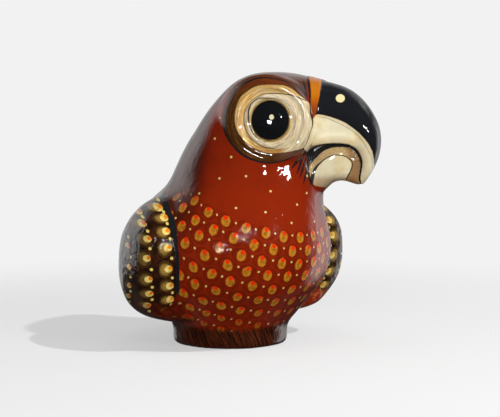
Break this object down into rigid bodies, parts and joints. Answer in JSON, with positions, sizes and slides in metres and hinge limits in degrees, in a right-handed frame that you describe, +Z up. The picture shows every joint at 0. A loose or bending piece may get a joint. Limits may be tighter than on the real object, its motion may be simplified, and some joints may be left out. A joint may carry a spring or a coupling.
{
  "type": "papier-mache parrot ornament",
  "caption": "Moulded parrot figure on a round foot, with a hooked beak, raised eye rings, folded wings and its head turned to one side, painted and lacquered; it stands by its own weight.",
  "frame": {"origin": "middle of the foot's flat underside, on the surface that the bird stands on", "axes": "+Z is up; the breast faces -Y; the bird's own left is +X, and its head is turned 38 degrees towards it"},
  "size_m": [0.3036, 0.2872, 0.3305],
  "materials": {
    "painted_papier_mache": "red-brown hand-painted papier-mache under a clear high-gloss lacquer"
  },
  "bodies": {
    "root": {"bird": "painted_papier_mache"}
  },
  "joints": []
}
